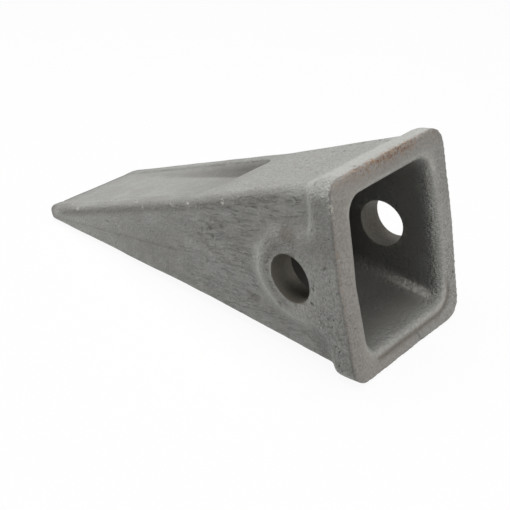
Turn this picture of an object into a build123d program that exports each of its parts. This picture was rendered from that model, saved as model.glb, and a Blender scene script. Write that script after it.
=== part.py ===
"""Bucket tooth for an excavator: one forged steel wedge with a socket for the adapter nose and a cross bore.

The tooth is drawn on its own axes first: the origin is the middle of the pin bore, +X runs to the
tip, +Y runs along the pin and +Z is up, square to the parting plane. The last step turns it about the
pin axis until it lies on its lower flank, the way it rests on a floor. Lengths are millimetres and
angles are degrees.
"""

import math
import os

from build123d import *

# Overall sizes
overall_length = 250.0
rear_width = 88.0
rear_height = 102.0
draft_angle = 2.0

# Blade: flanks, knee and tip
blade_tip_width = 75.5
rear_flank_height = 100.4
knee_height = 59.2
knee_setback = 98.3
nose_radius = 4.0
tip_corner_radius = 10.0
rear_edge_radius = 7.0
knee_edge_radius = 6.0
tip_edge_radius = 3.0

# Collar round the socket mouth
collar_land = 9.5
collar_depth = 26.0
collar_slope_angle = 30.0
collar_crown_radius = 24.0
collar_corner_radius = 10.0
collar_side_land = 11.5
collar_side_rise = 4.0
side_taper_angle = 3.0

# Socket for the adapter nose
socket_mouth_width = 61.6
socket_mouth_height = 79.0
socket_depth = 100.0
socket_end_width = 46.0
socket_end_height = 22.0
socket_mouth_corner_radius = 8.0
socket_end_corner_radius = 6.0
socket_draft_angle = 3.0
socket_end_chamfer = 4.0
mouth_lip_radius = 5.0

# Pin bore and the bosses round it
pin_bore_diameter = 25.0
pin_setback = 32.5
boss_radius = 23.2
boss_flare_radius = 12.0
boss_slope_angle = 45.0
boss_edge_radius = 4.0

# Scoops in the two flanks
scoop_width = 55.0
scoop_rear_depth = 9.0
scoop_nose_depth = 0.6
scoop_corner_radius = 11.5
scoop_wall_angle = 30.0
scoop_floor_radius = 3.0

# How far a cutting shape runs past the faces that it cuts
overrun = 2.0

# Largest share of half a section's height that its corner round may take
wall_share = 0.95

# Points closer than this are the same point
same_point = 0.01

# A face looks sideways when at least this share of its normal lies along Y
sideways_share = 0.99


def tangent(angle: float) -> float:
    """Tangent of an angle in degrees."""
    return math.tan(math.radians(angle))


rear_x = -pin_setback
tip_x = rear_x + overall_length
knee_x = rear_x + knee_setback
nose_x = tip_x - nose_radius
blade_rear_width = rear_width - 2 * collar_side_rise
side_slope = (blade_rear_width - blade_tip_width) / 2 / overall_length

# The front flanks run straight from the knee to touch the round nose
nose_reach = math.hypot(nose_x - knee_x, knee_height / 2)
knee_to_nose = math.atan2(knee_height / 2, nose_x - knee_x)
front_flank_angle = math.degrees(knee_to_nose - math.asin(nose_radius / nose_reach))
rear_flank_slope = (rear_flank_height - knee_height) / 2 / knee_setback


def flank_half_height(x: float) -> float:
    """Half height of the blade at x, from its two straight flank lines."""
    if x < knee_x:
        return knee_height / 2 + (knee_x - x) * rear_flank_slope
    return knee_height / 2 - (x - knee_x) * tangent(front_flank_angle)


def blade_half_width(x: float) -> float:
    """Half width of the blade at x, on the parting plane."""
    return blade_rear_width / 2 - (x - rear_x) * side_slope


def side_half_width(x: float) -> float:
    """Half width of the collar and boss sides at x, on the parting plane."""
    return rear_width / 2 - (x - rear_x) * tangent(side_taper_angle)


def across(x: float) -> Plane:
    """Plane square to the tooth's length at x, its own x along Y and its own y along Z."""
    return Plane(origin=(x, 0, 0), x_dir=(0, 1, 0), z_dir=(1, 0, 0))


def drafted_section(half_width: float, half_height: float, angle: float) -> Sketch:
    """Six-sided section, widest on the parting plane."""
    narrow = half_width - half_height * tangent(angle)
    return Polygon(
        (half_width, 0),
        (narrow, half_height),
        (-narrow, half_height),
        (-half_width, 0),
        (-narrow, -half_height),
        (narrow, -half_height),
        align=None,
    )


def rounded_section(half_width: float, half_height: float, angle: float, radius: float) -> Sketch:
    """Six-sided section with its four outer corners rounded, as far as its height leaves room."""
    outline = drafted_section(half_width, half_height, angle)
    corners = outline.vertices().filter_by(lambda v: abs(v.Y) > half_height / 2)
    return fillet(corners, min(radius, wall_share * half_height))


def side_prism(outline: Sketch) -> Part:
    """Solid between an outline's two copies, both wider than the tooth, in the XZ plane."""
    return extrude(Plane.XZ * outline, amount=rear_width, both=True)


def plan_prism(outline: Sketch) -> Part:
    """Solid above and below an outline in the XY plane, taller than the tooth."""
    return extrude(outline, amount=rear_height, both=True)


def blade() -> Part:
    """Wedge body with rounded long edges, a round nose and rounded tip corners."""
    stations = ((rear_x, rear_edge_radius), (knee_x, knee_edge_radius), (tip_x, tip_edge_radius))
    sections = []
    for x, radius in stations:
        section = rounded_section(blade_half_width(x), flank_half_height(x), draft_angle, radius)
        sections.append(across(x) * section)
    wedge = loft(sections, ruled=True)
    rear_half = blade_half_width(rear_x)
    tip_half = blade_half_width(tip_x)
    plan = Polygon((rear_x, -rear_half), (tip_x, -tip_half), (tip_x, tip_half), (rear_x, rear_half), align=None)
    plan = fillet(plan.vertices().group_by(Axis.X)[-1], tip_corner_radius)
    touch_x = nose_x + nose_radius * math.sin(math.radians(front_flank_angle))
    behind_nose = Pos(rear_x, 0) * Rectangle(touch_x - rear_x, rear_height, align=(Align.MIN, Align.CENTER))
    side = behind_nose + Pos(nose_x, 0) * Circle(nose_radius)
    return wedge & plan_prism(plan) & side_prism(side)


def cheek_outline(level: float) -> Sketch:
    """Outline, seen from the side, of what stands above the blade's side at a height over it.

    It is the collar's side band, full height, and the boss: a round front with a neck that flares
    into the band.
    """
    retreat = level * tangent(boss_slope_angle)
    setback = collar_side_land + collar_side_rise * tangent(boss_slope_angle) - retreat
    radius = boss_radius - retreat
    neck = Pos(rear_x, 0) * Rectangle(pin_setback, 2 * radius, align=(Align.MIN, Align.CENTER))
    band = Pos(rear_x, 0) * Rectangle(setback, rear_height + overrun, align=(Align.MIN, Align.CENTER))
    outline = Circle(radius) + neck + band
    inner = outline.vertices().filter_by(
        lambda v: abs(v.X - rear_x - setback) < same_point and abs(abs(v.Y) - radius) < same_point
    )
    return fillet(inner, min(boss_flare_radius + retreat, wall_share * (pin_setback - setback)))


def cheek() -> Part:
    """Space that the +Y side of the collar and its boss may fill, with leaning front walls.

    The walls lean down to where the drafted side meets the flanks, and go straight down below that.
    """
    surface_y = blade_half_width(0)
    lowest = -rear_height / 2 * tangent(draft_angle)
    proud = collar_side_rise + overrun
    sections = []
    for level, wall_level in ((-rear_edge_radius - overrun, lowest), (lowest, lowest), (proud, proud)):
        plane = Plane(origin=(0, surface_y + level, 0), x_dir=(1, 0, 0), z_dir=(0, 1, 0))
        sections.append(plane * cheek_outline(wall_level))
    return loft(sections, ruled=True)


def boss_rims(ring: Part) -> ShapeList:
    """Edges where the collar's side bands and bosses break into their leaning front walls."""
    bands = ring.faces().filter_by(lambda f: abs(f.normal_at().Y) > sideways_share)
    bands = bands.filter_by(lambda f: min(v.X for v in f.vertices()) < rear_x + same_point)
    edges = ShapeList([edge for band in bands for edge in band.edges()])
    edges = edges.filter_by(lambda e: min(v.X for v in e.vertices()) > rear_x + same_point)
    return edges.filter_by(lambda e: max(abs(v.Z) for v in e.vertices()) > same_point)


def collar() -> Part:
    """Thick rim round the mouth with its two bosses."""
    sections = []
    for x in (rear_x, knee_x):
        section = rounded_section(side_half_width(x), rear_height / 2, draft_angle, collar_corner_radius)
        sections.append(across(x) * section)
    envelope = loft(sections, ruled=True)
    land_x = rear_x + collar_land
    front_x = rear_x + collar_depth
    half_height = rear_height / 2
    front_half = half_height - (front_x - land_x) * tangent(collar_slope_angle)
    side = Polygon(
        (rear_x, -half_height),
        (land_x, -half_height),
        (front_x, -front_half),
        (knee_x, -front_half),
        (knee_x, front_half),
        (front_x, front_half),
        (land_x, half_height),
        (rear_x, half_height),
        align=None,
    )
    crown = side.vertices().filter_by(lambda v: abs(v.X - land_x) < same_point)
    side = fillet(crown, collar_crown_radius)
    core_width = 2 * (blade_half_width(0) - rear_edge_radius)
    core = Pos(rear_x, 0, 0) * Box(
        collar_depth, core_width, rear_height, align=(Align.MIN, Align.CENTER, Align.CENTER)
    )
    right = cheek()
    plan = core + right + mirror(right, Plane.XZ)
    ring = envelope & side_prism(side) & plan
    return fillet(boss_rims(ring), boss_edge_radius)


def socket_section(depth: float, inset: float) -> Sketch:
    """Section of the socket at a depth behind its mouth, with its walls moved in by an inset."""
    share = depth / socket_depth
    half_width = (socket_mouth_width + share * (socket_end_width - socket_mouth_width)) / 2
    half_height = (socket_mouth_height + share * (socket_end_height - socket_mouth_height)) / 2
    radius = socket_mouth_corner_radius + share * (socket_end_corner_radius - socket_mouth_corner_radius)
    section = rounded_section(half_width - inset, half_height - inset, socket_draft_angle, radius)
    return across(rear_x + depth) * section


def socket() -> Part:
    """Space for the adapter nose: a wedge with drafted sides, a rounded lip and a bevelled end."""
    wedge = loft([socket_section(-overrun, 0), socket_section(socket_depth - socket_end_chamfer, 0)], ruled=True)
    end = [socket_section(socket_depth - socket_end_chamfer, 0), socket_section(socket_depth, socket_end_chamfer)]
    plate = extrude(across(rear_x) * Rectangle(2 * rear_width, 2 * rear_height), amount=-2 * overrun)
    space = wedge + loft(end, ruled=True) + plate
    rim = space.faces().filter_by(Axis.X).filter_by(lambda f: abs(f.center().X - rear_x) < same_point)[0]
    return fillet(rim.inner_wires()[0].edges(), mouth_lip_radius)


def scoop_outline(level: float) -> Sketch:
    """Scoop seen square to the flank, at a height over it: straight rims and rounded rear corners."""
    grow = level * tangent(scoop_wall_angle)
    half = scoop_width / 2 + grow
    outline = Pos(-grow, 0) * Rectangle(overall_length, 2 * half, align=(Align.MIN, Align.CENTER))
    return fillet(outline.vertices().group_by(Axis.X)[0], scoop_corner_radius + grow)


def scoop() -> Part:
    """Space of the upper scoop: a flat floor, deepest at the knee, between leaning walls."""
    slope = tangent(front_flank_angle)
    along = Vector(1, 0, -slope).normalized()
    outward = Vector(slope, 0, 1).normalized()
    sections = []
    for level in (-scoop_rear_depth - overrun, overrun):
        origin = Vector(knee_x, 0, knee_height / 2) + outward * level
        plane = Plane(origin=origin, x_dir=along, z_dir=outward)
        sections.append(plane * scoop_outline(level))
    space = loft(sections, ruled=True)
    floor_rear = knee_height / 2 - scoop_rear_depth
    floor_nose = flank_half_height(nose_x) - scoop_nose_depth
    floor_slope = (floor_rear - floor_nose) / (nose_x - knee_x)
    start_x = knee_x - scoop_corner_radius
    end_x = tip_x + overrun
    floor_start = floor_rear + (knee_x - start_x) * floor_slope
    floor_end = floor_rear - (end_x - knee_x) * floor_slope
    above = Polygon(
        (start_x, floor_start),
        (end_x, floor_end),
        (end_x, rear_height),
        (start_x, rear_height),
        align=None,
    )
    space = space & side_prism(above)
    floor = space.faces().sort_by(lambda f: f.normal_at().Z)[0]
    foot = floor.edges().filter_by(lambda e: e.center().X < end_x - same_point)
    return fillet(foot, scoop_floor_radius)


def tooth() -> Part:
    """Whole tooth on its own axes."""
    upper = scoop()
    body = blade() - upper - mirror(upper, Plane.XY)
    body = body + collar() - socket()
    return body - side_prism(Circle(pin_bore_diameter / 2))


def rest_angle() -> float:
    """Angle between the tooth's length and the floor when it lies on its collar and its nose."""
    crown_start = collar_land - collar_crown_radius * tangent(collar_slope_angle / 2)
    run = nose_x - (rear_x + crown_start)
    rise = rear_height / 2 - collar_crown_radius
    lean = math.asin((collar_crown_radius - nose_radius) / math.hypot(run, rise))
    return math.degrees(math.atan2(rise, run) + lean)


os.makedirs("parts", exist_ok=True)
export_step(Rot(0, rest_angle(), 0) * tooth(), "parts/bucket_tooth.step")
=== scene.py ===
"""Looks of a bucket tooth: a forged, shot-blasted steel wedge, lying on a pale floor.

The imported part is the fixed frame. One piece stands for it: the same form remeshed finely, with the
soft edges of a forging, the creases and pits of its skin, and two bores drilled cleanly through it.
Lengths are metres in Blender. Sizes that belong to the tooth are written in millimetres and turned by
one constant.
"""

import logging
import math
from dataclasses import dataclass, field
from enum import Enum
from typing import Any

import bmesh
import bpy
import numpy as np
from mathutils import Matrix, Vector


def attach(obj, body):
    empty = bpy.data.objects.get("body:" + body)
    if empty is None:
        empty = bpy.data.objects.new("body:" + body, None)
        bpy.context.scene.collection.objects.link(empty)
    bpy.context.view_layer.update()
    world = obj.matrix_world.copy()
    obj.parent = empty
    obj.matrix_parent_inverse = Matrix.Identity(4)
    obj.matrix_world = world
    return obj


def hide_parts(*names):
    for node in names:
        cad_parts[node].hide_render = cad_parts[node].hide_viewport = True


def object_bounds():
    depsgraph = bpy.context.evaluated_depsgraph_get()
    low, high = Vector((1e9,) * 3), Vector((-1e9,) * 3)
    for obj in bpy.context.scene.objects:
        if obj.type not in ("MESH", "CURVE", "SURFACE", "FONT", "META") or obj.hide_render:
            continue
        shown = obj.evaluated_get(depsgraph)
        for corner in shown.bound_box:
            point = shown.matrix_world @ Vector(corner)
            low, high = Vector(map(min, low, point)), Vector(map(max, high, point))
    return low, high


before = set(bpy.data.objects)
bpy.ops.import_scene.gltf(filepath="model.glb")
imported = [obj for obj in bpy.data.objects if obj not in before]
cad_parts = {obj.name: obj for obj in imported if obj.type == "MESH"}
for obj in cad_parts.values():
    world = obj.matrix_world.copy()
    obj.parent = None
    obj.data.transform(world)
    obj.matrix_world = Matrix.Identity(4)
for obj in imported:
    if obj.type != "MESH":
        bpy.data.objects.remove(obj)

CAD_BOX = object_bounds()
MM = 0.001
PICTURE_SIDE = 510
SKIN_SEED = 7.0
REST_ANGLE = math.radians(11.0354)
MERGE_GAP = 1e-6
# Stands in for a squared length of nothing, so that a mark may be a single point
NO_LENGTH = 1e-9
# Numbers of the sockets of a Mix node that mixes colours
MIX_BELOW, MIX_ABOVE, MIX_RESULT = 6, 7, 2
log = logging.getLogger("bucket_tooth")


class Mask(Enum):
    """Names of the point attributes that say where marks of making or use, painted light and painted shade
    lie.
    """

    GRAIN = "grain_amount"
    CREASE = "crease_amount"
    EDGE = "edge_amount"
    # Painted light on lit tops, edges, lips and corners
    PAINTED_LIGHT = "painted_light_amount"
    # Painted shade
    SHADE = "shade_amount"
    DUST = "dust_amount"
    RUST = "rust_amount"
    # Wear, and painted highlights
    WEAR_AND_HIGHLIGHT = "wear_and_highlight_amount"
    # Pits, and painted shade deep in the socket
    PIT_AND_SHADE = "pit_and_shade_amount"
    STAIN = "stain_amount"
    # Painted shade inside the socket
    INSIDE = "socket_shade_amount"
    # Brown of the drilled bores, and painted shade in them
    BORE = "bore_amount"


def linear(hex_colour: str) -> tuple[float, float, float, float]:
    """Turns an sRGB hex colour into linear RGBA.

    Args:
        hex_colour: Six hex digits.

    Returns:
        Linear red, green and blue, and an alpha of one.
    """
    parts = [int(hex_colour[i : i + 2], 16) / 255 for i in (0, 2, 4)]
    turned = [c / 12.92 if c <= 0.04045 else ((c + 0.055) / 1.055) ** 2.4 for c in parts]
    return (turned[0], turned[1], turned[2], 1.0)


def add(
    tree: bpy.types.NodeTree, kind: str, links: dict[Any, Any] | None = None, **settings: Any
) -> bpy.types.Node:
    """Adds a node, sets its properties and values, and links its inputs.

    Args:
        tree: The node tree that gets it.
        kind: Blender's name for the type of node.
        links: Input name or number to an output socket, or to a plain value.
        **settings: Properties of the node itself.

    Returns:
        The new node.
    """
    node = tree.nodes.new(kind)
    for name, value in settings.items():
        setattr(node, name, value)
    for key, value in (links or {}).items():
        if isinstance(value, bpy.types.NodeSocket):
            tree.links.new(value, node.inputs[key])
        else:
            node.inputs[key].default_value = value
    return node


def smoothstep(low: float | np.ndarray, high: float, value: np.ndarray) -> np.ndarray:
    """Smooth rise from 0 at low to 1 at high.

    Args:
        low: Where the rise starts.
        high: Where it ends, which may be below low for a fall.
        value: The values to grade.

    Returns:
        Numbers from 0 to 1.
    """
    share = np.clip((value - low) / (high - low), 0, 1)
    return share * share * (3 - 2 * share)


def stripe(middle: float | np.ndarray, half_width: float | np.ndarray, value: np.ndarray) -> np.ndarray:
    """Smooth stripe, 1 at its middle and 0 from half its width outwards.

    Args:
        middle: Where the stripe is strongest.
        half_width: Distance at which it has faded out.
        value: The values to grade.

    Returns:
        Numbers from 0 to 1.
    """
    return smoothstep(half_width, 0.0, np.abs(value - middle))


def points_of(mesh: bpy.types.Mesh) -> np.ndarray:
    """Reads a mesh's points.

    Args:
        mesh: The mesh to read.

    Returns:
        Array of N by 3, in metres.
    """
    points = np.empty(len(mesh.vertices) * 3)
    mesh.vertices.foreach_get("co", points)
    return points.reshape(-1, 3)


def triangles_of(mesh: bpy.types.Mesh) -> int:
    """Counts a mesh's triangles, as if each face were cut into them."""
    return sum(len(face.vertices) - 2 for face in mesh.polygons)


@dataclass(frozen=True)
class Lie:
    """How the tooth lies: its own axes are turned about the pin axis until it rests on the floor."""

    rest_angle: float = REST_ANGLE
    pin_setback: float = 32.5

    def own(self, points: np.ndarray) -> np.ndarray:
        """Turns frame points in metres to the tooth's own axes in millimetres.

        Args:
            points: Array of N by 3.

        Returns:
            X from the rear face towards the tip, Y along the pin, Z up from the parting plane.
        """
        x, y, z = (points / MM).T
        cos, sin = math.cos(self.rest_angle), math.sin(self.rest_angle)
        return np.stack((x * cos - z * sin + self.pin_setback, y, x * sin + z * cos), axis=1)


@dataclass(frozen=True)
class Grain:
    """One scale of unevenness in a surface: noise of a real size, graded from 0 to 1.

    Noise below low counts as 0 and noise above high as 1. Stretch is below 1 along an axis where the grain
    is longer than its size, and turn is the angle about Y by which its axes differ from the object's.
    """

    size_mm: float
    low: float = 0.3
    high: float = 0.7
    detail: float = 2.0
    roughness: float = 0.5
    stretch: tuple[float, float, float] = (1.0, 1.0, 1.0)
    seed: float = SKIN_SEED
    turn: float = 0.0

    def grow(
        self,
        tree: bpy.types.NodeTree,
        place: bpy.types.NodeSocket,
        scale: bpy.types.NodeSocket | None = None,
        seed: bpy.types.NodeSocket | None = None,
    ) -> bpy.types.NodeSocket:
        """Lays the grain out in a tree.

        Args:
            tree: Material or geometry tree.
            place: Socket with the position.
            scale: Socket that sets the noise's scale, where it isn't this grain's own size.
            seed: Socket that sets the seed, where it isn't this grain's own.

        Returns:
            Socket with the graded value.
        """
        if self.turn:
            links = {"Vector": place, "Angle": self.turn}
            place = add(tree, "ShaderNodeVectorRotate", links, rotation_type="Y_AXIS").outputs[0]
        spread = add(tree, "ShaderNodeVectorMath", {0: place, 1: self.stretch}, operation="MULTIPLY")
        links = {
            "Vector": spread.outputs[0],
            "W": self.seed if seed is None else seed,
            "Scale": 1 / (self.size_mm * MM) if scale is None else scale,
            "Detail": self.detail,
            "Roughness": self.roughness,
        }
        value = add(tree, "ShaderNodeTexNoise", links, noise_dimensions="4D").outputs[0]
        links = {0: value, 1: self.low, 2: self.high, 3: 0.0, 4: 1.0}
        return add(tree, "ShaderNodeMapRange", links, interpolation_type="SMOOTHSTEP").outputs[0]


@dataclass(frozen=True)
class Relief:
    """A grain cut into the surface to a real depth, all over or where a mask says."""

    grain: Grain
    depth_mm: float
    where: Mask | None = None


def streaks(size_mm: float, low: float, high: float, squeeze: float, shift: int) -> Grain:
    """Describes a grain that is drawn out along the tooth, as its steel flowed in the die.

    Args:
        size_mm: Width of a streak.
        low: Noise that counts as 0.
        high: Noise that counts as 1.
        squeeze: Width of a streak as a share of its length.
        shift: What its seed adds to the skin's.

    Returns:
        The grain.
    """
    return Grain(size_mm, low, high, stretch=(squeeze, 1.0, 1.0), seed=SKIN_SEED + shift, turn=-REST_ANGLE)


# Relief in the mesh itself: slow swells all over, ripples and short creases on the sides, stray pits, and
# chips that fray the rim of the rear face.
SKIN_RELIEF: dict[str, Relief] = {
    "Swell": Relief(Grain(30.0, 0.25, 0.75, detail=1.0), 0.35),
    "Ripple": Relief(streaks(4.2, 0.3, 0.7, 0.42, 1), 0.36, Mask.CREASE),
    "Crease": Relief(streaks(2.2, 0.53, 0.64, 0.26, 2), 0.34, Mask.CREASE),
    "Pit": Relief(Grain(4.6, 0.7, 0.8, detail=1.0, seed=SKIN_SEED + 3), 0.4, Mask.GRAIN),
    "Chip": Relief(Grain(2.6, 0.45, 0.7, seed=SKIN_SEED + 4), 0.6, Mask.EDGE),
}

# Relief too fine for the mesh, left to the shader. Blasting grit leaves dimples of about 0.3 mm. They
# are drawn at about 1 mm, because a pixel covers half a millimetre.
SHADER_RELIEF: dict[str, Relief] = {
    "Sand": Relief(
        Grain(1.7, 0.25, 0.75, detail=3.0, roughness=0.65, seed=SKIN_SEED + 11), 0.6, Mask.GRAIN
    ),
    "Grit": Relief(Grain(0.9, 0.25, 0.75, detail=1.0, seed=SKIN_SEED + 12), 0.2, Mask.GRAIN),
    "Wrinkle": Relief(streaks(1.2, 0.52, 0.62, 0.19, 13), -1.3, Mask.CREASE),
}

# Patterns of colour. Mottle and cloud are the uneven tone that blasting leaves, over centimetres and over
# millimetres. Fleck is painted shade in the dimples, glint a painted highlight on them, and speck dimples
# full of scale. Patch breaks up rust, worn spots and painted highlights, and spread parts light rust from
# deep. The last three are painted shade in the relief's own lows.
TINTS: dict[str, Grain] = {
    "Mottle": Grain(26.0, 0.35, 0.65, detail=4.0, roughness=0.6),
    "Cloud": Grain(7.0, 0.45, 0.7, detail=3.0),
    "Fleck": Grain(1.4, 0.35, 0.7, detail=2.0, roughness=0.6, seed=SKIN_SEED + 21),
    "Glint": Grain(1.2, 0.5, 0.75, detail=2.0, roughness=0.6, seed=SKIN_SEED + 25),
    "Speck": Grain(1.3, 0.66, 0.72, detail=1.0, seed=SKIN_SEED + 22),
    "Patch": Grain(1.7, 0.42, 0.58, detail=3.0, roughness=0.7, seed=SKIN_SEED + 23),
    "Spread": Grain(1.5, 0.4, 0.62, seed=SKIN_SEED + 24),
    "Crease": SKIN_RELIEF["Crease"].grain,
    "Pit": SKIN_RELIEF["Pit"].grain,
    "Wrinkle": SHADER_RELIEF["Wrinkle"].grain,
}


@dataclass(frozen=True)
class BlastedForging:
    """Bare alloy steel, drop forged and shot blasted: matt grey, finely dimpled, a little rust on the rear.

    Blasting leaves a surface that scatters light almost evenly, so it reads as grey paint would, with a
    faint broad sheen. The bores are drilled afterwards and are smoother and browner, and painted shade
    darkens them further. Light and shade are painted into the colour elsewhere too: highlights on edges,
    lips and feet, and shade under edges, in creases and inside the socket.
    """

    grey: str = "8A8A87"
    # Random pale tone, and the colour of the painted light and highlights
    pale: str = "A6A6A2"
    dark: str = "7D7C78"
    # Colour of the painted shade under edges, in creases and pits and in the scoops
    painted_shade: str = "5C5A56"
    # Dark scale in pits, and the colour of painted shade deep in the socket
    pit_and_shade: str = "3E3A36"
    dust: str = "9B958F"
    rust: str = "917860"
    rust_deep: str = "6E5443"
    # Bare worn metal, and the colour of painted highlights
    wear_and_highlight: str = "CFCAC0"
    stain: str = "5A5248"
    # Colour of the painted shade inside the socket
    inside: str = "62615D"
    # Brown of drilled steel, darkened with painted shade
    bore: str = "646058"
    smoothest: float = 0.54
    roughest: float = 0.68
    metallic: float = 0.35

    def coats(
        self,
        tints: dict[str, bpy.types.NodeSocket],
        masks: dict[Mask, bpy.types.NodeSocket],
        rust: bpy.types.NodeSocket,
    ) -> tuple[tuple[Any, Any, float, Any], ...]:
        """Lists the coats of colour that lie over the plain grey, from the lowest up.

        Args:
            tints: Sockets of the colour patterns.
            masks: Sockets of the masks.
            rust: Socket with the rust's own colour.

        Returns:
            For each coat the three factors of its thickness, and its colour.
        """
        return (
            (tints["Mottle"], 1.0, 0.8, linear(self.dark)),
            (tints["Cloud"], 1.0, 0.25, linear(self.pale)),
            # Painted shade inside the socket
            (masks[Mask.INSIDE], 1.0, 1.0, linear(self.inside)),
            # Painted light on lit tops, edges, lips and corners
            (masks[Mask.PAINTED_LIGHT], 1.0, 1.0, linear(self.pale)),
            # Painted shade under edges, at feet, at the nose and in the scoops
            (masks[Mask.SHADE], 1.0, 1.0, linear(self.painted_shade)),
            (masks[Mask.DUST], 1.0, 0.75, linear(self.dust)),
            # Painted shade and painted highlight in the blasted dimples
            (tints["Fleck"], masks[Mask.GRAIN], 0.3, linear(self.dark)),
            (tints["Glint"], masks[Mask.GRAIN], 0.18, linear(self.pale)),
            # Painted shade in the lows of the creases, wrinkles and pits
            (tints["Crease"], masks[Mask.CREASE], 0.08, linear(self.painted_shade)),
            (tints["Wrinkle"], masks[Mask.CREASE], 0.2, linear(self.painted_shade)),
            (tints["Pit"], masks[Mask.GRAIN], 0.5, linear(self.painted_shade)),
            # Dimples full of dark scale
            (tints["Speck"], masks[Mask.GRAIN], 0.22, linear(self.pit_and_shade)),
            (masks[Mask.STAIN], 1.0, 0.75, linear(self.stain)),
            # Brown of the bores, darkened with painted shade
            (masks[Mask.BORE], 1.0, 1.0, linear(self.bore)),
            (masks[Mask.RUST], tints["Patch"], 1.0, rust),
            # Pits, and painted shade deep in the socket
            (masks[Mask.PIT_AND_SHADE], 1.0, 0.85, linear(self.pit_and_shade)),
            # Worn metal, and painted highlights on the lip and the socket's floor corners
            (masks[Mask.WEAR_AND_HIGHLIGHT], tints["Patch"], 0.5, linear(self.wear_and_highlight)),
        )

    def material(self) -> bpy.types.Material:
        """Builds the shader.

        Returns:
            The finished material.
        """
        made = bpy.data.materials.new("shot_blasted_forged_steel")
        made.use_nodes = True
        tree = made.node_tree
        tree.nodes.clear()
        place = add(tree, "ShaderNodeTexCoord").outputs["Object"]
        masks = {m: add(tree, "ShaderNodeAttribute", attribute_name=m.value).outputs["Fac"] for m in Mask}
        tints = {name: grain.grow(tree, place) for name, grain in TINTS.items()}
        links = {0: tints["Spread"], MIX_BELOW: linear(self.rust), MIX_ABOVE: linear(self.rust_deep)}
        rust = add(tree, "ShaderNodeMix", links, data_type="RGBA").outputs[MIX_RESULT]
        colour: Any = linear(self.grey)
        for first, second, share, coat in self.coats(tints, masks, rust):
            thick = add(tree, "ShaderNodeMath", {0: first, 1: second}, operation="MULTIPLY").outputs[0]
            thick = add(tree, "ShaderNodeMath", {0: thick, 1: share}, operation="MULTIPLY", use_clamp=True)
            links = {0: thick.outputs[0], MIX_BELOW: colour, MIX_ABOVE: coat}
            colour = add(tree, "ShaderNodeMix", links, data_type="RGBA").outputs[MIX_RESULT]
        height: Any = 0.0
        for relief in SHADER_RELIEF.values():
            links = {0: relief.grain.grow(tree, place), 1: masks[relief.where]}
            cut = add(tree, "ShaderNodeMath", links, operation="MULTIPLY")
            links = {0: cut.outputs[0], 1: relief.depth_mm, 2: height}
            height = add(tree, "ShaderNodeMath", links, operation="MULTIPLY_ADD").outputs[0]
        bump = add(tree, "ShaderNodeBump", {"Strength": 1.0, "Distance": MM, "Height": height})
        links = {0: tints["Fleck"], 1: 0.0, 2: 1.0, 3: self.smoothest, 4: self.roughest}
        rough = add(tree, "ShaderNodeMapRange", links)
        links = {
            "Base Color": colour,
            "Metallic": self.metallic,
            "Roughness": rough.outputs[0],
            "Normal": bump.outputs[0],
        }
        shader = add(tree, "ShaderNodeBsdfPrincipled", links)
        add(tree, "ShaderNodeOutputMaterial", {0: shader.outputs[0]})
        return made


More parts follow.
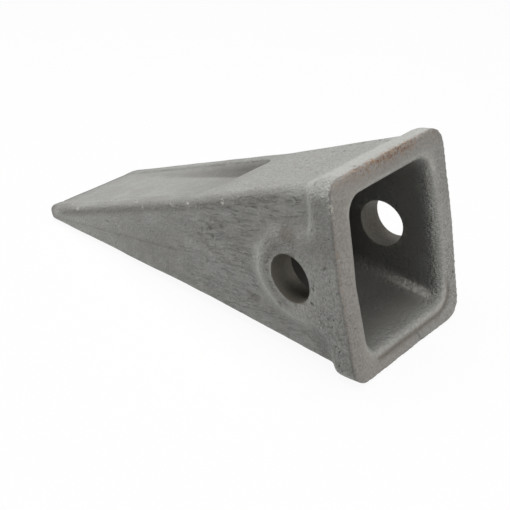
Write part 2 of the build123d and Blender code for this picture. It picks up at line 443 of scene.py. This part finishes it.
@dataclass
class ForgingSkin:
    """Relief of a forged surface, as a Geometry Nodes tree with its depths and spacings as inputs.

    It only cuts inwards, so the tooth never outgrows its solid.
    """

    material: bpy.types.Material
    seed: float = SKIN_SEED

    def values(self) -> dict[str, float]:
        """Lists the named inputs of the tree.

        Returns:
            The seed, and each relief's depth and spacing in metres.
        """
        found = {"Seed": self.seed}
        for name, relief in SKIN_RELIEF.items():
            found[f"{name} Depth"] = relief.depth_mm * MM
            found[f"{name} Spacing"] = relief.grain.size_mm * MM
        return found

    def tree(self) -> bpy.types.NodeTree:
        """Builds the node tree.

        Returns:
            The geometry node group.
        """
        tree = bpy.data.node_groups.new("forging_skin", "GeometryNodeTree")
        face = tree.interface
        face.new_socket("Geometry", in_out="INPUT", socket_type="NodeSocketGeometry")
        for name in self.values():
            face.new_socket(name, in_out="INPUT", socket_type="NodeSocketFloat")
        face.new_socket("Material", in_out="INPUT", socket_type="NodeSocketMaterial")
        face.new_socket("Geometry", in_out="OUTPUT", socket_type="NodeSocketGeometry")
        given = add(tree, "NodeGroupInput").outputs
        place = add(tree, "GeometryNodeInputPosition").outputs[0]
        depth: Any = 0.0
        for name, relief in SKIN_RELIEF.items():
            scale = add(tree, "ShaderNodeMath", {0: 1.0, 1: given[f"{name} Spacing"]}, operation="DIVIDE")
            shift = relief.grain.seed - SKIN_SEED
            seed = add(tree, "ShaderNodeMath", {0: given["Seed"], 1: shift}, operation="ADD")
            cut = relief.grain.grow(tree, place, scale.outputs[0], seed.outputs[0])
            if relief.where is not None:
                links = {"Name": relief.where.value}
                mask = add(tree, "GeometryNodeInputNamedAttribute", links, data_type="FLOAT")
                links = {0: cut, 1: mask.outputs[0]}
                cut = add(tree, "ShaderNodeMath", links, operation="MULTIPLY").outputs[0]
            links = {0: cut, 1: given[f"{name} Depth"], 2: depth}
            depth = add(tree, "ShaderNodeMath", links, operation="MULTIPLY_ADD").outputs[0]
        inward = add(tree, "ShaderNodeMath", {0: depth, 1: -1.0}, operation="MULTIPLY")
        normal = add(tree, "GeometryNodeInputNormal")
        links = {0: normal.outputs[0], "Scale": inward.outputs[0]}
        offset = add(tree, "ShaderNodeVectorMath", links, operation="SCALE")
        links = {"Geometry": given["Geometry"], "Offset": offset.outputs[0]}
        moved = add(tree, "GeometryNodeSetPosition", links)
        real = add(tree, "GeometryNodeRealizeInstances", {0: moved.outputs[0]})
        links = {"Geometry": real.outputs[0], "Material": given["Material"]}
        dressed = add(tree, "GeometryNodeSetMaterial", links)
        add(tree, "NodeGroupOutput", {0: dressed.outputs[0]})
        return tree

    def apply(self, made: bpy.types.Object) -> None:
        """Adds the tree to a piece as a modifier and sets its inputs by their identifiers.

        Args:
            made: The piece that gets the relief.
        """
        tree = self.tree()
        values: dict[str, Any] = {**self.values(), "Material": self.material}
        modifier = made.modifiers.new("forging_skin", "NODES")
        modifier.node_group = tree
        for item in tree.interface.items_tree:
            if item.in_out == "INPUT" and item.name in values:
                modifier[item.identifier] = values[item.name]


@dataclass(frozen=True)
class Mark:
    """A single mark from making or use, along a short line on the surface.

    Its ends are on the tooth's own axes, in millimetres. Its depth is how far it is cut in, and its core is
    the share of its radius that it covers fully.
    """

    shown: Mask
    start: tuple[float, float, float]
    end: tuple[float, float, float]
    radius: float
    depth: float = 0.0
    strength: float = 1.0
    core: float = 0.25

    def cover(self, own: np.ndarray) -> np.ndarray:
        """How strongly the mark covers each point.

        Args:
            own: Points on the tooth's own axes.

        Returns:
            1 along its line, 0 from its radius outwards.
        """
        start, run = np.array(self.start), np.array(self.end) - np.array(self.start)
        along = np.clip((own - start) @ run / max(float(run @ run), NO_LENGTH), 0, 1)[:, None]
        apart = np.linalg.norm(own - start - along * run, axis=1)
        return smoothstep(self.radius, self.core * self.radius, apart)


MARKS: tuple[Mark, ...] = (
    # Nicks that caught the light along the near upper edge
    Mark(Mask.WEAR_AND_HIGHLIGHT, (222.8, 33.0, 8.1), (221.0, 34.0, 8.2), 1.5, 0.2),
    Mark(Mask.WEAR_AND_HIGHLIGHT, (212.3, 37.0, 8.5), (210.5, 37.4, 8.2), 1.6, 0.3),
    Mark(Mask.WEAR_AND_HIGHLIGHT, (152.6, 34.3, 20.0), (150.0, 35.0, 20.2), 1.6, 0.3),
    Mark(Mask.WEAR_AND_HIGHLIGHT, (143.6, 37.5, 18.9), (143.0, 37.7, 18.0), 1.4, 0.3),
    Mark(Mask.WEAR_AND_HIGHLIGHT, (117.8, 36.7, 24.5), (116.0, 37.2, 23.6), 1.5, 0.3),
    Mark(Mask.WEAR_AND_HIGHLIGHT, (104.8, 36.9, 26.9), (102.6, 37.2, 26.0), 2.0, 0.4),
    Mark(Mask.WEAR_AND_HIGHLIGHT, (75.7, 37.3, 31.5), (75.0, 37.6, 30.4), 1.6, 0.3),
    # Nick in the near edge of the rear face, and its worn upper corner
    Mark(Mask.WEAR_AND_HIGHLIGHT, (0.4, 43.6, -5.4), (0.4, 43.6, -6.6), 1.5, 0.3),
    Mark(Mask.WEAR_AND_HIGHLIGHT, (0.4, 43.0, 43.8), (0.4, 43.0, 37.8), 2.8, 0.3, 2.0),
    # Pits left by scale that was pressed in and fell out
    Mark(Mask.PIT_AND_SHADE, (39.0, -29.8, 42.0), (39.0, -29.8, 42.0), 1.7, 0.7),
    Mark(Mask.PIT_AND_SHADE, (3.6, 20.1, 51.0), (3.0, 20.4, 51.0), 1.3, 0.5),
    Mark(Mask.PIT_AND_SHADE, (42.1, -18.4, 41.4), (42.1, -18.4, 41.4), 1.4, 0.5),
    Mark(Mask.PIT_AND_SHADE, (88.2, 38.7, 15.8), (87.0, 38.7, 15.3), 1.5, 0.4, 1.3),
    Mark(Mask.PIT_AND_SHADE, (87.0, 38.8, 11.6), (86.6, 38.8, 10.6), 1.4, 0.4, 1.1),
    Mark(Mask.PIT_AND_SHADE, (97.3, 38.8, 10.4), (96.0, 38.8, 10.2), 1.4, 0.3, 0.5),
    Mark(Mask.PIT_AND_SHADE, (181.1, 38.2, 4.5), (180.2, 38.2, 4.3), 1.3, 0.5, 0.7),
    Mark(Mask.PIT_AND_SHADE, (43.4, 41.2, -15.7), (44.0, 41.0, -19.0), 1.8, 0.6, 0.8),
    Mark(Mask.PIT_AND_SHADE, (81.7, -12.8, 33.1), (81.7, -12.8, 33.1), 1.2, 0.4, 0.7),
    # Oil and water stains
    Mark(Mask.STAIN, (66.0, 38.8, -17.0), (62.5, 38.8, -19.0), 4.0, 0.0, 0.6),
    Mark(Mask.STAIN, (33.0, 40.3, 22.6), (29.0, 40.3, 21.0), 6.0, 0.0, 0.7),
    # Lap in the rear rim, and the trimmed flash along the parting plane
    Mark(Mask.PIT_AND_SHADE, (0.2, -6.3, -44.6), (0.2, -9.2, -50.7), 0.9, 0.4, 0.5),
    Mark(Mask.STAIN, (119.0, 38.8, -2.4), (238.0, 37.8, -1.8), 1.2, 0.12, 0.35),
    Mark(Mask.STAIN, (70.0, -38.8, -2.4), (238.0, -37.8, -1.8), 1.2, 0.12, 0.35),
)


@dataclass(frozen=True)
class Zones:
    """Where points lie on the tooth, and from that how strongly marks, painted light and painted shade
    show.

    Distances are in millimetres on the tooth's own axes, and zones are shares from 0 to 1. Bounds of x, y
    and z in the methods are places read off the photograph, and factors are strengths set beside it.
    """

    x: np.ndarray
    y: np.ndarray
    z: np.ndarray
    flank: np.ndarray
    socket_width: np.ndarray
    socket_height: np.ndarray
    past_boss: np.ndarray
    pin_reach: np.ndarray
    mouth_gap: np.ndarray
    inside: np.ndarray
    bore: np.ndarray
    scoop: np.ndarray

    @property
    def reach(self) -> np.ndarray:
        """Distance from the mid plane."""
        return np.abs(self.y)

    @property
    def rise(self) -> np.ndarray:
        """Distance from the parting plane."""
        return np.abs(self.z)

    @property
    def side(self) -> np.ndarray:
        """The two side walls."""
        return smoothstep(32, 36, self.reach) * (1 - self.bore)

    @property
    def rear(self) -> np.ndarray:
        """The rear face."""
        return smoothstep(1.6, 0.4, self.x)

    @property
    def flank_top(self) -> np.ndarray:
        """The coarse stretch of each flank between collar and scoop."""
        middle = smoothstep(36, 32, self.reach)
        return middle * smoothstep(98, 75, self.x) * smoothstep(19, 26, self.x) * (1 - self.inside)

    @property
    def lip(self) -> np.ndarray:
        """The round of the socket's mouth, most of all above and below."""
        level = 0.25 + 0.75 * smoothstep(24, 34, self.rise)
        return stripe(1.2, 2.4, self.mouth_gap) * smoothstep(6.5, 3.5, self.x) * level

    @property
    def floor_corner(self) -> np.ndarray:
        """The two long corners of the socket's floor, close to its mouth.

        Returns:
            Shares from 0 to 1.
        """
        across, down = self.reach - self.socket_width + 2.5, self.rise - self.socket_height + 2.5
        corner = np.hypot(across, down)
        return self.inside * (self.z < 0) * smoothstep(3.6, 1.2, corner) * smoothstep(42, 8, self.x)

    def grain(self) -> np.ndarray:
        """Grades the blasted grain: coarse on the collar and before the scoops, fine inside.

        Returns:
            Factors, 1 for the usual grain.
        """
        collar = smoothstep(24, 12, self.x) * (1 - self.inside)
        low_band = 1.2 * (self.x < 26) * smoothstep(-6, -18, self.z)
        over_bore = stripe(16, 5, self.pin_reach) * (self.z > 6)
        coarse = 1.2 * collar * smoothstep(46, 40, self.rise) + 0.5 * self.side * (self.past_boss < 0)
        coarse += 1.2 * self.flank_top + self.side * (low_band + over_bore)
        coarse *= 1 - 0.6 * self.rear
        mouth = smoothstep(5.5, 3.5, self.mouth_gap) * smoothstep(30, 12, self.x)
        outside = (1 - 0.65 * self.scoop) * (1 + coarse)
        return outside * (1 - 0.6 * self.inside) * (1 - 0.9 * self.bore) * (1 - 0.4 * mouth)

    def creases(self) -> np.ndarray:
        """Grades the creases of the sides, where the steel was pressed together as it filled the die.

        Returns:
            Strengths.
        """
        wall = smoothstep(1.5, 7, self.past_boss) * smoothstep(8, 26, self.x) * smoothstep(165, 60, self.x)
        before_bore = 1.4 * stripe(15.5, 3.0, self.pin_reach) * (self.x > 38)
        off_edge = 1 - 0.8 * smoothstep(7, 2, self.flank - self.rise)
        return self.side * np.maximum(wall, before_bore) * off_edge

    def pale(self) -> np.ndarray:
        """Grades the painted light: lit tops and faces, and highlights on edges, lips, feet and corners.

        Returns:
            Shares from 0 to 1.
        """
        tip = 0.45 * self.side * smoothstep(140, 225, self.x)
        scoop_front = 0.2 * self.scoop * smoothstep(130, 160, self.x)
        collar_edge = smoothstep(23, 19, self.x) * smoothstep(43, 47, self.rise) * (1 - self.rear)
        far_rim = 0.5 * smoothstep(0.9, 0.4, self.x) * smoothstep(10, -25, self.y)
        floor_front = 0.15 * self.inside * (self.z < -15) * smoothstep(18, 6, self.x)
        lip = self.lip * np.where(self.z > 0, 1.0, 0.75)
        boss_top = 0.5 * self.side * (self.past_boss < 0) * smoothstep(18, 8, self.z)
        long_edge = 0.5 * (self.flank - self.rise < 1.5) * stripe(30.8, 2.2, self.reach)
        long_edge = long_edge * smoothstep(130, 175, self.x)
        found = tip + scoop_front + collar_edge + far_rim + 0.7 * self.flank_top + 0.6 * self.floor_corner
        found = found + floor_front + lip + boss_top + self.boss_foot() + long_edge
        return np.clip(found, 0, 1)

    def boss_foot(self) -> np.ndarray:
        """Grades the painted highlight along the foot of the boss and of the collar's side band.

        Returns:
            Strengths.
        """
        high = self.z > 16
        band = smoothstep(20, 24, self.z) * smoothstep(19, 16, self.x)
        boss = 0.5 * smoothstep(16, 9, self.z)
        level = np.select((high, self.z > -14), (band, boss), 0.3)
        middle, half_width = np.where(high, -1.0, 0.3), np.where(high, 6.0, 4.6)
        return level * self.side * stripe(middle, half_width, self.past_boss) * (self.x > 8)

    def shade(self) -> np.ndarray:
        """Grades the painted shade: below edges, at feet, at the nose and along the scoops' walls.

        Returns:
            Shares from 0 to 1.
        """
        along = smoothstep(22, 40, self.x) * smoothstep(238, 225, self.x)
        under_edge = 0.75 * self.side * stripe(self.flank - 3.8, 4.2, self.z) * along
        near_nose = 0.5 * smoothstep(29.5, 33.5, self.reach) * smoothstep(3.0, 1.0, self.flank - self.rise)
        near_nose = near_nose * smoothstep(205, 232, self.x)
        boss_head = 0.16 * self.side * smoothstep(10, 16, self.z) * stripe(-6.0, 7.0, self.past_boss)
        boss_head = boss_head * (self.x > 3)
        before_bore = 0.35 * self.side * stripe(16.5, 5.5, self.pin_reach) * smoothstep(32, 38, self.x)
        rim_edge = 0.65 * self.side * stripe(1.2, 1.3, self.x)
        nose_corner = smoothstep(238, 243, self.x) * smoothstep(33, 36, self.reach)
        nose = 0.8 * np.maximum(smoothstep(244, 248, self.x), nose_corner)
        high_rim = 0.4 * self.rear * smoothstep(41, 45, self.z)
        scoop_rear = 0.3 * self.scoop * smoothstep(150, 100, self.x)
        scoop_wall = 0.85 * self.scoop * smoothstep(18, 22, self.reach) * smoothstep(27.4, 25, self.reach)
        scoop_wall = scoop_wall * smoothstep(240, 110, self.x)
        found = under_edge + near_nose + boss_head + before_bore + rim_edge + nose
        found = found + high_rim + scoop_rear + scoop_wall
        return np.clip(found, 0, 1)

    def chips(self) -> np.ndarray:
        """Grades the frayed outer edge of the rear face."""
        return self.rear * smoothstep(5.5, 7.2, np.maximum(self.reach - 37.0, self.rise - 44.2))

    def dust(self) -> np.ndarray:
        """Grades the brownish dust on the rear face, heavier on the near side."""
        return smoothstep(0.9, 0.4, self.x) * (0.5 + 0.5 * smoothstep(-20, 25, self.y))

    def rust(self) -> np.ndarray:
        """Grades the rust along the upper edge of the rear face, and a trace down its near side.

        Returns:
            Strengths.
        """
        top_edge = smoothstep(43.5, 49.2, self.z) * smoothstep(3.4, 0.6, self.x)
        run = smoothstep(-30, -8, self.y) * smoothstep(34, 12, self.y)
        above = top_edge * (0.25 + 0.75 * run) * smoothstep(43, 38, self.reach)
        return above + 0.45 * self.rear * smoothstep(41.6, 43.2, self.y)

    def wear_and_highlight(self) -> np.ndarray:
        """Grades worn metal on the rear face's near edge, and painted highlights on the lip and floor
        corners.

        Returns:
            Strengths.
        """
        near_rim = 0.4 * self.rear * smoothstep(42.4, 43.6, self.reach) * (self.y > 0)
        # Worn rim, then painted highlights on the lip and the floor corners
        return near_rim + 0.4 * self.lip * (self.rise > 30) + 0.9 * self.floor_corner

    def scale(self) -> np.ndarray:
        """Grades the painted shade deep in the socket."""
        return 0.6 * self.inside * (self.z < 5) * smoothstep(38, 58, self.x)

    def stain(self) -> np.ndarray:
        """Grades the dark brown line along the lower rim, just off the lip."""
        low_rim = smoothstep(-22, -34, self.z) * smoothstep(3.0, 1.0, self.x)
        return low_rim * stripe(3.8, 2.4, self.mouth_gap) * (self.y < 25)


@dataclass
class ToothBody:
    """The tooth itself, remeshed from its solid."""

    name: str = "tooth_body"
    node: str = "bucket_tooth"
    slot: str = "forged_steel"
    voxel: float = 0.72
    most_triangles: int = 186000
    even_turns: int = 5
    even_strength: float = 0.4
    soft_turns: int = 30
    foot_softness: float = 0.5
    edge_softness: float = 0.35
    sharp_angle: float = math.radians(48)
    bore_radius: float = 12.5
    bore_reach: float = 60.0
    bore_segments: int = 96
    boss_radius: float = 23.2
    boss_flare: float = 12.0
    band_width: float = 15.5
    socket_mouth: tuple[float, float] = (61.6, 79.0)
    socket_corner_radius: float = 8.0
    socket_end: tuple[float, float] = (46.0, 22.0)
    socket_depth: float = 100.0
    flank_stations: tuple[float, float, float] = (0.0, 98.3, 246.0)
    flank_half_heights: tuple[float, float, float] = (50.2, 29.6, 4.0)
    scoop_half_width: float = 27.5
    slack: float = 1.0
    wall_slack: float = 0.1
    facet_slack: float = 0.02
    lie: Lie = field(default_factory=Lie)
    finish: BlastedForging = field(default_factory=BlastedForging)

    def merged_copy(self) -> bpy.types.Object:
        """Copies the node's loose triangles into a new object and joins them up.

        Returns:
            The new object, with its bores closed.
        """
        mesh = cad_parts[self.node].data.copy()
        mesh.materials.clear()
        shape = bmesh.new()
        shape.from_mesh(mesh)
        bmesh.ops.remove_doubles(shape, verts=shape.verts, dist=MERGE_GAP)
        self.close_bores(shape)
        shape.to_mesh(mesh)
        shape.free()
        made = bpy.data.objects.new(self.name, mesh)
        bpy.context.collection.objects.link(made)
        return made

    def close_bores(self, shape: bmesh.types.BMesh) -> None:
        """Takes the bores' walls away and caps them level with the sides, as before they were drilled.

        Args:
            shape: The merged mesh, changed in place.
        """
        radius, slack = self.bore_radius * MM, self.facet_slack * MM
        walls = [
            face
            for face in shape.faces
            if all(abs(math.hypot(vert.co.x, vert.co.z) - radius) < slack for vert in face.verts)
        ]
        bmesh.ops.delete(shape, geom=walls, context="FACES")
        rims = [edge for edge in shape.edges if edge.is_boundary]
        bmesh.ops.holes_fill(shape, edges=rims, sides=0)
        bmesh.ops.recalc_face_normals(shape, faces=shape.faces)

    def bake(self, made: bpy.types.Object) -> None:
        """Turns the object's modifiers into a plain mesh and removes them.

        Args:
            made: The piece, changed in place.
        """
        graph = bpy.context.evaluated_depsgraph_get()
        mesh = bpy.data.meshes.new_from_object(made.evaluated_get(graph))
        old = made.data
        made.modifiers.clear()
        made.data = mesh
        bpy.data.meshes.remove(old)

    def remesh(self, made: bpy.types.Object) -> None:
        """Turns the mesh into even quads, one voxel wide.

        Args:
            made: The piece, changed in place.
        """
        step = made.modifiers.new("even_quads", "REMESH")
        step.mode = "VOXEL"
        step.voxel_size = self.voxel * MM
        self.bake(made)

    def soften(self, made: bpy.types.Object) -> None:
        """Relaxes the mesh, more where the forging is soft, less at its few crisp edges.

        Args:
            made: The piece, changed in place.
        """
        mesh = made.data
        points = points_of(mesh)
        ends = np.empty(len(mesh.edges) * 2, dtype=np.int64)
        mesh.edges.foreach_get("vertices", ends)
        first, second = ends.reshape(-1, 2).T
        count = np.bincount(np.concatenate((first, second)), minlength=len(points))[:, None]
        weight = self.softness(self.lie.own(points))[:, None]
        for turn in range(self.soft_turns):
            total = np.empty_like(points)
            for axis in range(3):
                total[:, axis] = np.bincount(first, points[second, axis], len(points))
                total[:, axis] += np.bincount(second, points[first, axis], len(points))
            strength = weight if turn >= self.even_turns else np.maximum(weight, self.even_strength)
            points += strength * (total / count - points)
        mesh.vertices.foreach_set("co", points.ravel())
        mesh.update()

    def past_boss(self, own: np.ndarray) -> np.ndarray:
        """Measures how far points lie outside the boss and the collar's side band, seen from the side.

        Args:
            own: Points on the tooth's own axes.

        Returns:
            Distances in millimetres, below zero on the boss and the band.
        """
        x, z = own[:, 0], np.abs(own[:, 2])
        front = np.hypot(np.maximum(x - self.lie.pin_setback, 0), z) - self.boss_radius
        band = x - self.band_width
        share = np.clip(0.5 + 0.5 * (band - front) / self.boss_flare, 0, 1)
        return band + (front - band) * share - self.boss_flare * share * (1 - share)

    def softness(self, own: np.ndarray) -> np.ndarray:
        """How far each point is relaxed, by where it lies on the tooth.

        Args:
            own: Points on the tooth's own axes.

        Returns:
            Shares from 0 to 1.
        """
        x, y, z = own.T
        side = smoothstep(34, 37, np.abs(y)) * (x > 8)
        wall = side * smoothstep(9.5, 4, np.abs(self.past_boss(own)))
        flank = np.interp(x, self.flank_stations, self.flank_half_heights)
        long_edge = smoothstep(32, 35, np.abs(y)) * stripe(flank, 4, np.abs(z)) * smoothstep(120, 180, x)
        return np.maximum(self.foot_softness * wall, self.edge_softness * long_edge)

    def scar(self, made: bpy.types.Object) -> None:
        """Cuts the single marks into the surface.

        Args:
            made: The piece, changed in place.
        """
        mesh = made.data
        points = points_of(mesh)
        own = self.lie.own(points)
        normals = np.empty(len(points) * 3)
        mesh.vertices.foreach_get("normal", normals)
        for mark in MARKS:
            points -= (mark.cover(own) * mark.depth * MM)[:, None] * normals.reshape(-1, 3)
        mesh.vertices.foreach_set("co", points.ravel())
        mesh.update()

    def zones(self, own: np.ndarray) -> Zones:
        """Works out where points lie, from the tooth's own sizes.

        Args:
            own: Points on the tooth's own axes.

        Returns:
            Their distances and zones.
        """
        x, y, z = own.T
        reach, rise = np.abs(y), np.abs(z)
        flank = np.interp(x, self.flank_stations, self.flank_half_heights)
        depth = np.clip(x / self.socket_depth, 0, 1)
        width, height = (
            (mouth + depth * (end - mouth)) / 2 for mouth, end in zip(self.socket_mouth, self.socket_end)
        )
        within = (reach < width + self.slack) & (rise < height + self.slack)
        within = within & (x < self.socket_depth + self.slack)
        pin_reach = np.hypot(x - self.lie.pin_setback, z)
        wall = np.abs(pin_reach - self.bore_radius) < self.wall_slack
        bore = (wall & (reach > width - 2 * self.slack)) * 1.0
        scoop = smoothstep(0.6, 1.6, flank - rise) * (reach < self.scoop_half_width)
        radius = self.socket_corner_radius
        past_side = reach - self.socket_mouth[0] / 2 + radius
        past_top = rise - self.socket_mouth[1] / 2 + radius
        return Zones(
            x=x,
            y=y,
            z=z,
            flank=flank,
            socket_width=width,
            socket_height=height,
            past_boss=self.past_boss(own),
            pin_reach=pin_reach,
            mouth_gap=np.hypot(np.maximum(past_side, 0), np.maximum(past_top, 0)) - radius,
            inside=smoothstep(2, 10, x) * within * (1 - bore),
            bore=bore,
            scoop=scoop * (x > self.flank_stations[1]),
        )

    def masks(self, own: np.ndarray) -> dict[Mask, np.ndarray]:
        """Works out how strongly each kind of mark, painted light and painted shade shows at each point.

        Args:
            own: Points on the tooth's own axes.

        Returns:
            One array for each mask.
        """
        at = self.zones(own)
        found = {
            Mask.GRAIN: at.grain(),
            Mask.CREASE: at.creases(),
            Mask.EDGE: at.chips(),
            Mask.PAINTED_LIGHT: at.pale(),
            Mask.SHADE: at.shade(),
            Mask.DUST: at.dust(),
            Mask.RUST: at.rust(),
            Mask.WEAR_AND_HIGHLIGHT: at.wear_and_highlight(),
            Mask.PIT_AND_SHADE: at.scale(),
            Mask.STAIN: at.stain(),
            # Painted shade over the whole inside of the socket
            Mask.INSIDE: at.inside,
            Mask.BORE: at.bore,
        }
        for mark in MARKS:
            found[mark.shown] = np.maximum(found[mark.shown], mark.strength * mark.cover(own))
        return found

    def paint(self, made: bpy.types.Object) -> None:
        """Writes the masks as point attributes, which the skin and the material read.

        Args:
            made: The piece, changed in place.
        """
        mesh = made.data
        for mask, values in self.masks(self.lie.own(points_of(mesh))).items():
            layer = mesh.attributes.get(mask.value) or mesh.attributes.new(mask.value, "FLOAT", "POINT")
            layer.data.foreach_set("value", np.asarray(values, dtype=np.float32))

    def thin(self, made: bpy.types.Object) -> None:
        """Takes triangles away where the surface is smooth, until few enough are left.

        Args:
            made: The piece, changed in place.
        """
        share = self.most_triangles / triangles_of(made.data)
        step = made.modifiers.new("fewer_faces", "DECIMATE")
        step.ratio = min(1.0, share)
        self.bake(made)

    def drill(self, made: bpy.types.Object) -> None:
        """Cuts the two bores with one clean cylinder along the pin's axis.

        Args:
            made: The piece, changed in place.
        """
        shape = bmesh.new()
        bmesh.ops.create_cone(
            shape,
            cap_ends=True,
            segments=self.bore_segments,
            radius1=self.bore_radius * MM,
            radius2=self.bore_radius * MM,
            depth=2 * self.bore_reach * MM,
            matrix=Matrix.Rotation(math.pi / 2, 4, "X"),
        )
        mesh = bpy.data.meshes.new("drill")
        shape.to_mesh(mesh)
        shape.free()
        drill = bpy.data.objects.new("drill", mesh)
        bpy.context.collection.objects.link(drill)
        step = made.modifiers.new("bores", "BOOLEAN")
        step.operation = "DIFFERENCE"
        step.solver = "EXACT"
        step.object = drill
        self.bake(made)
        bpy.data.objects.remove(drill)
        bpy.data.meshes.remove(mesh)

    def keep_in_box(self, made: bpy.types.Object) -> None:
        """Holds every point within the solid's own box.

        Args:
            made: The piece, changed in place.
        """
        points = np.clip(points_of(made.data), np.array(CAD_BOX[0]), np.array(CAD_BOX[1]))
        made.data.vertices.foreach_set("co", points.ravel())
        made.data.update()

    def build(self) -> bpy.types.Object:
        """Makes the piece and hands it to the frame.

        Returns:
            The finished object.
        """
        made = self.merged_copy()
        self.remesh(made)
        self.soften(made)
        self.scar(made)
        self.paint(made)
        ForgingSkin(self.finish.material()).apply(made)
        self.bake(made)
        self.thin(made)
        self.drill(made)
        self.paint(made)
        self.keep_in_box(made)
        made.data.polygons.foreach_set("use_smooth", [True] * len(made.data.polygons))
        made.data.set_sharp_from_angle(angle=self.sharp_angle)
        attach(made, "root")
        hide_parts(self.node)
        return made


def white_share(tree: bpy.types.NodeTree) -> bpy.types.NodeSocket:
    """Finds the rays that see the background: those from the camera, and those from gloss and glass.

    Args:
        tree: Material or world tree.

    Returns:
        Socket that is 1 for such a ray and 0 for light that falls on things.
    """
    seen = add(tree, "ShaderNodeLightPath").outputs
    links = {0: seen["Is Camera Ray"], 1: seen["Is Glossy Ray"]}
    most = add(tree, "ShaderNodeMath", links, operation="MAXIMUM")
    links = {0: most.outputs[0], 1: seen["Is Transmission Ray"]}
    return add(tree, "ShaderNodeMath", links, operation="MAXIMUM").outputs[0]


@dataclass(frozen=True)
class PaleFloor:
    """Seamless white paper that keeps a faint shadow of the object."""

    side: float = 6.0
    tone: str = "E6E6E4"
    white: float = 0.93

    def build(self) -> bpy.types.Object:
        """Makes the floor under the lowest point of the tooth.

        Returns:
            The floor.
        """
        shape = bmesh.new()
        bmesh.ops.create_grid(shape, x_segments=1, y_segments=1, size=self.side / 2)
        mesh = bpy.data.meshes.new("floor")
        shape.to_mesh(mesh)
        shape.free()
        mesh.transform(Matrix.Translation((0, 0, CAD_BOX[0].z)))
        floor = bpy.data.objects.new("floor", mesh)
        bpy.context.collection.objects.link(floor)
        made = bpy.data.materials.new("white_paper")
        made.use_nodes = True
        tree = made.node_tree
        tree.nodes.clear()
        paper = add(tree, "ShaderNodeBsdfDiffuse", {"Color": linear(self.tone)})
        share = add(tree, "ShaderNodeMath", {0: white_share(tree), 1: self.white}, operation="MULTIPLY")
        white = add(tree, "ShaderNodeEmission", {"Color": (1, 1, 1, 1), "Strength": 1.0})
        links = {0: share.outputs[0], 1: paper.outputs[0], 2: white.outputs[0]}
        mixed = add(tree, "ShaderNodeMixShader", links)
        add(tree, "ShaderNodeOutputMaterial", {0: mixed.outputs[0]})
        mesh.materials.append(made)
        return floor


@dataclass(frozen=True)
class SoftLamp:
    """One softbox, its places and side in metres and its power in watts."""

    name: str
    place: tuple[float, float, float]
    aim: tuple[float, float, float]
    side: float
    power: float

    def build(self) -> bpy.types.Object:
        """Makes the lamp.

        Returns:
            The lamp.
        """
        data = bpy.data.lights.new(self.name, "AREA")
        data.shape = "SQUARE"
        data.size = self.side
        data.energy = self.power
        lamp = bpy.data.objects.new(self.name, data)
        bpy.context.collection.objects.link(lamp)
        lamp.location = self.place
        lamp.rotation_euler = (Vector(self.aim) - Vector(self.place)).to_track_quat("-Z", "Y").to_euler()
        return lamp


@dataclass(frozen=True)
class Studio:
    """Plain soft light on a white background."""

    world_level: float = 0.03
    lamps: tuple[SoftLamp, ...] = (
        SoftLamp("overhead_softbox", (0.25, 0.0, 1.2), (0.08, 0, 0), 0.9, 15.5),
        SoftLamp("tip_softbox", (1.15, 0.5, 0.14), (0.08, 0, 0), 0.5, 5.0),
        SoftLamp("rear_softbox", (-0.9, 0.1, 0.9), (0, 0, 0), 0.8, 7.1),
    )

    def build(self) -> list[bpy.types.Object]:
        """Makes the lamps and the world.

        Returns:
            The lamps.
        """
        world = bpy.data.worlds.new("white_surround")
        bpy.context.scene.world = world
        world.use_nodes = True
        tree = world.node_tree
        tree.nodes.clear()
        links = {0: white_share(tree), 1: 0.0, 2: 1.0, 3: self.world_level, 4: 1.0}
        level = add(tree, "ShaderNodeMapRange", links)
        light = add(tree, "ShaderNodeBackground", {"Color": (1, 1, 1, 1), "Strength": level.outputs[0]})
        add(tree, "ShaderNodeOutputWorld", {0: light.outputs[0]})
        return [lamp.build() for lamp in self.lamps]


@dataclass(frozen=True)
class PhotoCamera:
    """Camera that sees the tooth from behind, beside and above, as the photograph does.

    Its place is in millimetres, and its focal length in pixels of the picture.
    """

    place: tuple[float, float, float] = (-226.404, 291.58, 217.132)
    forward: tuple[float, float, float] = (0.60394, -0.60640, -0.51723)
    right: tuple[float, float, float] = (-0.72155, -0.69164, -0.03163)
    focal_pixels: float = 865.98
    sensor: float = 36.0
    nearest: float = 0.01
    farthest: float = 20.0

    def build(self) -> bpy.types.Object:
        """Makes the scene's camera.

        Returns:
            The camera.
        """
        data = bpy.data.cameras.new("photo_camera")
        data.sensor_width = self.sensor
        data.lens = self.focal_pixels * self.sensor / PICTURE_SIDE
        data.clip_start = self.nearest
        data.clip_end = self.farthest
        camera = bpy.data.objects.new("photo_camera", data)
        bpy.context.collection.objects.link(camera)
        forward = Vector(self.forward).normalized()
        right = Vector(self.right)
        right = (right - forward * right.dot(forward)).normalized()
        turn = Matrix((right, right.cross(forward), -forward)).transposed().to_4x4()
        camera.matrix_world = Matrix.Translation(Vector(self.place) * MM) @ turn
        bpy.context.scene.camera = camera
        return camera


def main() -> None:
    """Builds the tooth, the floor, the light and the camera."""
    logging.basicConfig(level=logging.INFO, format="%(name)s: %(message)s")
    bpy.context.scene.view_settings.view_transform = "Standard"
    body = ToothBody()
    tooth = body.build()
    log.info("%s: %d triangles, stands for %s", tooth.name, triangles_of(tooth.data), body.node)
    floor = PaleFloor().build()
    log.info("%s: stage, at %.1f mm", floor.name, CAD_BOX[0].z / MM)
    for lamp in Studio().build():
        log.info("%s: %.1f W", lamp.name, lamp.data.energy)
    camera = PhotoCamera().build()
    log.info("%s: %.1f mm lens", camera.name, camera.data.lens)
    bpy.context.view_layer.update()


if __name__ == "__main__":
    main()
